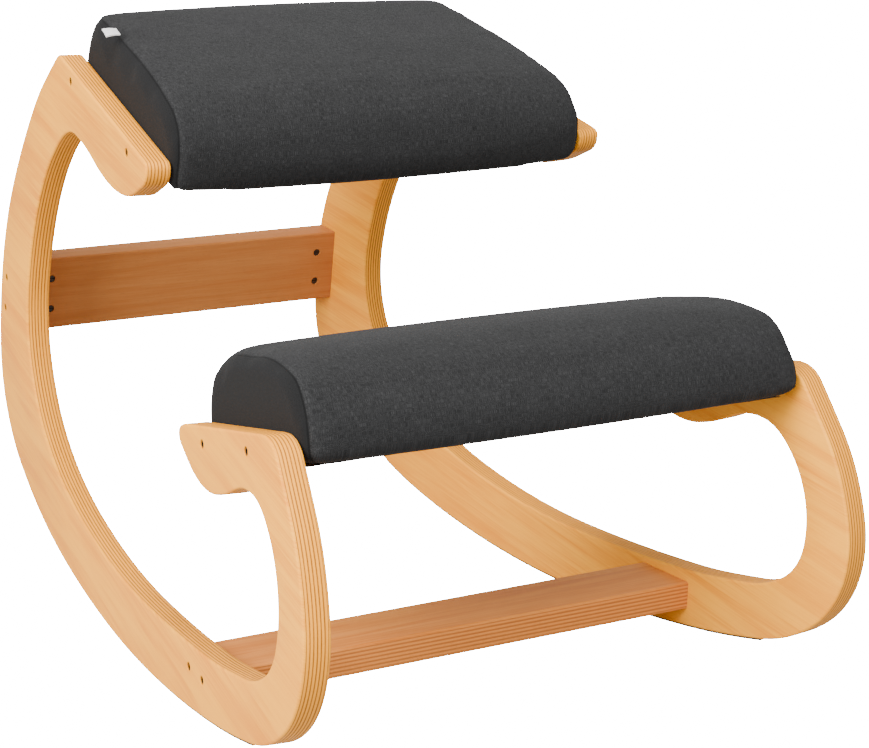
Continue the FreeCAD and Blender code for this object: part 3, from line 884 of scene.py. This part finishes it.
def sewn(mesh, pad, seam_depth):
    """Keep a cover off the side frames, and pull it in at the seams between its top and its end panels.

    A point's distance past the seam is how far inside the side view it lies, less its distance from
    the side frame. The seam's groove is seam_depth e^(-(past/2.2)^2) deep.
    """
    points = drawn(vertex_values(mesh, "co"))
    a, q, h, d = pad.local(points)
    points[:, 0] -= np.sign(points[:, 0]) * np.clip(SOFT_CLEARANCE - d, 0, None) / math.cos(SPLAY)

    outline, headings = pad.outline(3.0)
    top = outline.imag > pad.foot + 7.0
    outline = outline[top]
    out = outward(headings)[top]
    length = np.concatenate(((0.0,), np.cumsum(abs(np.diff(outline)))))
    swollen = outline[None, :] + out[None, :] * (pad.swell + pad.crown) / 2 * (1 - a * a)[:, None]
    spot = q + 1j * h
    nearest = abs(spot[:, None] - swollen).argmin(axis=1)
    inside = -((spot - swollen[np.arange(len(spot)), nearest]) * out[nearest].conj()).real
    past = inside - np.clip(d, 0, None)

    groove = seam_depth * np.exp(-((past / GROOVE_WIDTH) ** 2)) * (d < 30.0)
    placed = standing(points) - vertex_values(mesh, "normal") * groove[:, None] / 1000
    mesh.vertices.foreach_set("co", placed.ravel())
    places = mesh.attributes.new("sewn", "FLOAT_VECTOR", "POINT")
    values = np.stack((np.where(d < 40.0, past, NO_SEAM), length[nearest], points[:, 0]), axis=-1)
    places.data.foreach_set("vector", values.ravel())
    mesh.polygons.foreach_set("use_smooth", np.ones(len(mesh.polygons), bool))
    mesh.update()


def cushion(name, pad, material, replaced, settings):
    """A padded piece over its board."""
    piece = padded_form(name, pad, settings.fullness / 1000)
    sewn(piece.data, pad, settings.seam_depth)
    dressed(piece, material, replaced)


def dust_cover(name, pad):
    """Cloth under a pad, stapled 20 mm in from its edges and sagging a little between the staples.

    With s and t from -1 to 1, its upper face lies at the height
    foot - 0.5 - 0.5 (1 - s s)(1 - t t) - 0.1 cos(14 pi s) max(s^8, t^8), and it is 0.6 thick.
    """
    s = np.linspace(-1, 1, 57)[:, None]
    t = np.linspace(-1, 1, 25)[None, :]
    q = t * (pad.half - 20.0)
    hem = np.maximum(abs(t) ** 8, abs(s) ** 8)
    h = pad.foot - 0.5 - 0.5 * (1 - s * s) * (1 - t * t) - 0.1 * np.cos(14 * math.pi * s) * hem
    y, z = pad.place.at(q, h)
    x = s * (GAP / 2 - 9.0 - y * math.tan(SPLAY))  # 9 mm short of each side frame
    lower = np.stack(np.broadcast_arrays(x, y, z - 0.6), axis=-1)
    upper = np.stack(np.broadcast_arrays(x, y, z), axis=-1)
    loop = np.concatenate((upper, lower[:, ::-1]), axis=1)
    return solid_piece(name, [np.swapaxes(loop, 0, 1)], 50.0)


SEAT_OVER = [(118.0, 18.0, 90), (92.0, 55.0, 178), (-83.0, 49.5, 190), (-118.0, 8.0, 270)]
KNEE_OVER = [
    (98.5, 16.0, 90),
    (91.0, 44.0, 112),
    (60.0, 64.0, 160),
    (0.0, 69.0, 180),
    (-48.5, 64.5, 195),
    (-86.5, 44.0, 238),
    (-98.5, 5.0, 270),
]


# Settings


class FrameSettings(bpy.types.PropertyGroup):
    arris: FloatProperty(
        name="Arris",
        description="Radius of the eased edges, in millimetres",
        default=2.1,
        min=0.5,
        max=4.0,
    )
    wood: FloatVectorProperty(
        name="Plywood",
        description="Colour of the pale plywood",
        subtype="COLOR",
        default=(0.90, 0.372, 0.021),
        min=0.0,
        max=1.0,
    )
    rail_wood: FloatVectorProperty(
        name="Back rail",
        description="Colour of the back rail",
        subtype="COLOR",
        default=(0.47, 0.185, 0.050),
        min=0.0,
        max=1.0,
    )
    foot_wood: FloatVectorProperty(
        name="Foot rail",
        description="Colour of the foot rail",
        subtype="COLOR",
        default=(0.70, 0.26, 0.055),
        min=0.0,
        max=1.0,
    )


class PadSettings(bpy.types.PropertyGroup):
    cloth: FloatVectorProperty(
        name="Cover",
        description="Colour of the woven cover",
        subtype="COLOR",
        default=(0.016, 0.016, 0.0163),
        min=0.0,
        max=1.0,
    )
    fullness: FloatProperty(
        name="Fullness",
        description="How far the covers may swell, in millimetres",
        default=1.8,
        min=0.5,
        max=20.0,
    )
    seam_depth: FloatProperty(
        name="Seam depth",
        description="How deep the seams pull in, in millimetres",
        default=0.9,
        min=0.0,
        max=3.0,
    )


class StageSettings(bpy.types.PropertyGroup):
    key_power: FloatProperty(
        name="Key light",
        description="Power of the large light on the left",
        default=222.0,
        min=0.0,
        subtype="POWER",
    )
    top_power: FloatProperty(
        name="Top light",
        description="Power of the light overhead",
        default=120.0,
        min=0.0,
        subtype="POWER",
    )
    ambient: FloatProperty(
        name="Room light",
        description="Strength of the white surroundings",
        default=0.85,
        min=0.0,
    )


# Operators


class CHAIR_OT_side_frames(bpy.types.Operator):
    """Build the two plywood side frames"""

    bl_idname = "chair.side_frames"
    bl_label = "Side Frames"

    def execute(self, context):
        settings = context.scene.chair_frame
        wood = plywood("birch_plywood", tuple(settings.wood), frame_depth, frame_grain, PLY, 0.85)
        for side, hand in zip(SIDES, ("left", "right")):
            piece = side_frame(side, "frame_" + hand, settings.arris)
            dressed(piece, wood, ["side_frame_" + hand])
        return {"FINISHED"}


class CHAIR_OT_rails(bpy.types.Operator):
    """Build the back rail and the foot rail"""

    bl_idname = "chair.rails"
    bl_label = "Rails"

    def execute(self, context):
        settings = context.scene.chair_frame
        back = bored_rail("rail_back", "back_rail", *BACK_RAIL_SIZE)
        dressed(back, solid_wood("rail_beech", tuple(settings.rail_wood)), ["back_rail"])
        foot = bored_rail("rail_foot", "foot_rail", *FOOT_RAIL_SIZE)
        pale = tuple(settings.foot_wood)
        wood = plywood("rail_plywood", pale, foot_rail_depth, foot_rail_grain, FOOT_RAIL_SIZE[1], 0.4)
        dressed(foot, wood, ["foot_rail"])
        return {"FINISHED"}


class CHAIR_OT_fittings(bpy.types.Operator):
    """Build the bolts and barrel nuts"""

    bl_idname = "chair.fittings"
    bl_label = "Fittings"

    def execute(self, context):
        # Dark brown steel of the bolt heads, its tint darkened further as painted shade of the recesses the
        # heads sit in
        bolt_steel = steel("dark_bolt_steel_and_recess_shade", (0.09, 0.065, 0.04), 0.45)
        nut_steel = steel("dark_steel", (0.08, 0.07, 0.06), 0.45)
        for joint in JOINTS:
            dressed(bolts("bolts_" + joint, joint), bolt_steel, [joint + "_bolts"])
        for joint in ("back_rail", "foot_rail"):
            dressed(barrel_nuts("nuts_" + joint, joint), nut_steel, [joint + "_nuts"])
        for joint in ("seat", "knee"):
            finish_node(joint + "_nuts", nut_steel)
        return {"FINISHED"}


class CHAIR_OT_cushions(bpy.types.Operator):
    """Build the seat and knee cushions over their boards, and the cloths under them"""

    bl_idname = "chair.cushions"
    bl_label = "Cushions"

    def execute(self, context):
        settings = context.scene.chair_pads
        cloth = cover_cloth("charcoal_cover", tuple(settings.cloth))
        seat = Pad(SEAT, SEAT_OVER, half=118.0, lip=8.0, crown=4.0, swell=2.0)
        cushion("cushion_seat", seat, cloth, ["seat_cushion", "seat_board"], settings)
        knee = Pad(KNEE, KNEE_OVER, half=98.5, lip=1.5, crown=2.0, swell=2.0)
        cushion("cushion_knee", knee, cloth, ["knee_cushion", "knee_board"], settings)
        dust = thin_cloth("black_dust_cloth", (0.02, 0.02, 0.021), 2.0)
        for joint, pad in (("seat", seat), ("knee", knee)):
            dressed(dust_cover("dust_cover_" + joint, pad), dust, [joint + "_dust_cover"])
        return {"FINISHED"}


class CHAIR_OT_trim(bpy.types.Operator):
    """Build the tab and finish the grip strips"""

    bl_idname = "chair.trim"
    bl_label = "Tab and Grip Strips"

    def execute(self, context):
        tab = sewn_tab("tab")
        dressed(tab, thin_cloth("white_tape", (0.80, 0.80, 0.78), 0.9), ["label_tab"])
        grip = rubber("black_rubber", (0.018, 0.018, 0.018))
        for hand in ("left", "right"):
            finish_node("grip_strip_" + hand, grip)
        return {"FINISHED"}


def lamp(name, place, target, size, power):
    """A square soft light at a place, turned to a target."""
    light = bpy.data.lights.new(name, "AREA")
    light.shape = "SQUARE"
    light.size = size
    light.energy = power
    piece = bpy.data.objects.new(name, light)
    piece.location = place
    piece.rotation_euler = (Vector(target) - Vector(place)).to_track_quat("-Z", "Y").to_euler()
    bpy.context.scene.collection.objects.link(piece)


CAMERA_WHITE = 40.0  # strength at which the camera sees the floor and the room as pure white
FOCAL_LENGTH = 2494.0 / 869.0  # of the camera, in widths of the picture
SENSOR_WIDTH = 36.0
CAMERA_AT = (-996.9, -1712.0, 1049.8)  # in the drawing frame


def camera():
    """The camera, in the drawing frame: turned 33.4 degrees from the back, down 23.5, rolled 7.25."""
    turn = math.radians(33.4)
    down = math.radians(23.5)
    roll = math.radians(7.25)
    forward = np.array((math.sin(turn) * math.cos(down), math.cos(turn) * math.cos(down), -math.sin(down)))
    level = np.array((math.cos(turn), -math.sin(turn), 0.0))
    right = math.cos(roll) * level + math.sin(roll) * np.cross(level, forward)
    up = np.cross(right, forward)
    eye, *ends = (standing(CAMERA_AT + step * 1000) for step in (np.zeros(3), right, up, -forward))
    axes = [Vector(end - eye) for end in ends]
    lens = bpy.data.cameras.new("camera")
    lens.sensor_fit = "HORIZONTAL"
    lens.sensor_width = SENSOR_WIDTH
    lens.lens = FOCAL_LENGTH * SENSOR_WIDTH
    lens.clip_start = 0.05
    lens.clip_end = 60.0
    piece = bpy.data.objects.new("camera", lens)
    piece.matrix_world = Matrix.Translation(Vector(eye)) @ Matrix(axes).transposed().to_4x4()
    bpy.context.scene.collection.objects.link(piece)
    bpy.context.scene.camera = piece


def pale_floor():
    """A flat floor that the camera sees as pure white, and that lights the object as a grey one."""
    mesh = bpy.data.meshes.new("floor")
    corners = [(-6.0, -6.0, 0.0), (6.0, -6.0, 0.0), (6.0, 6.0, 0.0), (-6.0, 6.0, 0.0)]
    mesh.from_pydata(corners, [], [(0, 1, 2, 3)])
    recipe = Recipe("pale_floor", 0.9, Base_Color=(0.40, 0.40, 0.40, 1.0), Specular_IOR_Level=0.0)
    seen = recipe.node("ShaderNodeLightPath", outlet="Is Camera Ray")
    recipe.shader.inputs["Emission Color"].default_value = (1.0, 1.0, 1.0, 1.0)
    recipe.tree.links.new((seen * CAMERA_WHITE).socket, recipe.shader.inputs["Emission Strength"])
    mesh.materials.append(recipe.material)
    floor = bpy.data.objects.new("floor", mesh)
    bpy.context.scene.collection.objects.link(floor)


def white_room(ambient):
    """White surroundings, pure white to the camera and of a given strength to the object."""
    world = bpy.data.worlds.new("white_room")
    world.use_nodes = True
    nodes = world.node_tree.nodes
    links = world.node_tree.links
    nodes["Background"].inputs["Color"].default_value = (1.0, 1.0, 1.0, 1.0)
    seen = nodes.new("ShaderNodeLightPath")
    strength = nodes.new("ShaderNodeMapRange")
    strength.inputs["To Min"].default_value = ambient
    strength.inputs["To Max"].default_value = CAMERA_WHITE
    links.new(seen.outputs["Is Camera Ray"], strength.inputs["Value"])
    links.new(strength.outputs["Result"], nodes["Background"].inputs["Strength"])
    bpy.context.scene.world = world


class CHAIR_OT_stage(bpy.types.Operator):
    """Build the camera, the pale floor and the soft lights"""

    bl_idname = "chair.stage"
    bl_label = "Stage"

    def execute(self, context):
        settings = context.scene.chair_stage
        camera()
        pale_floor()
        white_room(settings.ambient)
        lamp("key", (-2.7, -0.8, 1.7), (0.0, 0.0, 0.25), 2.0, settings.key_power)
        lamp("top", (-0.4, -1.3, 2.7), (0.0, -0.1, 0.2), 2.0, settings.top_power)
        return {"FINISHED"}


class CHAIR_PT_panel(bpy.types.Panel):
    """Lists the chair's settings and pieces"""

    bl_idname = "CHAIR_PT_panel"
    bl_label = "Kneeling Chair"
    bl_space_type = "VIEW_3D"
    bl_region_type = "UI"
    bl_category = "Kneeling Chair"

    def draw(self, context):
        for group in ("chair_frame", "chair_pads", "chair_stage"):
            settings = getattr(context.scene, group)
            box = self.layout.box()
            for name in settings.__annotations__:
                box.prop(settings, name)
        for operator in OPERATORS:
            self.layout.operator(operator.bl_idname)


OPERATORS = (
    CHAIR_OT_side_frames,
    CHAIR_OT_rails,
    CHAIR_OT_fittings,
    CHAIR_OT_cushions,
    CHAIR_OT_trim,
    CHAIR_OT_stage,
)
SETTINGS = {"chair_frame": FrameSettings, "chair_pads": PadSettings, "chair_stage": StageSettings}


def register():
    for made in (*SETTINGS.values(), *OPERATORS, CHAIR_PT_panel):
        bpy.utils.register_class(made)
    for name, group in SETTINGS.items():
        setattr(bpy.types.Scene, name, PointerProperty(type=group))


def unregister():
    for name in SETTINGS:
        delattr(bpy.types.Scene, name)
    for made in reversed((*SETTINGS.values(), *OPERATORS, CHAIR_PT_panel)):
        bpy.utils.unregister_class(made)


def main():
    register()
    for operator in OPERATORS:
        area, name = operator.bl_idname.split(".")
        getattr(getattr(bpy.ops, area), name)()


if __name__ == "__main__":
    main()
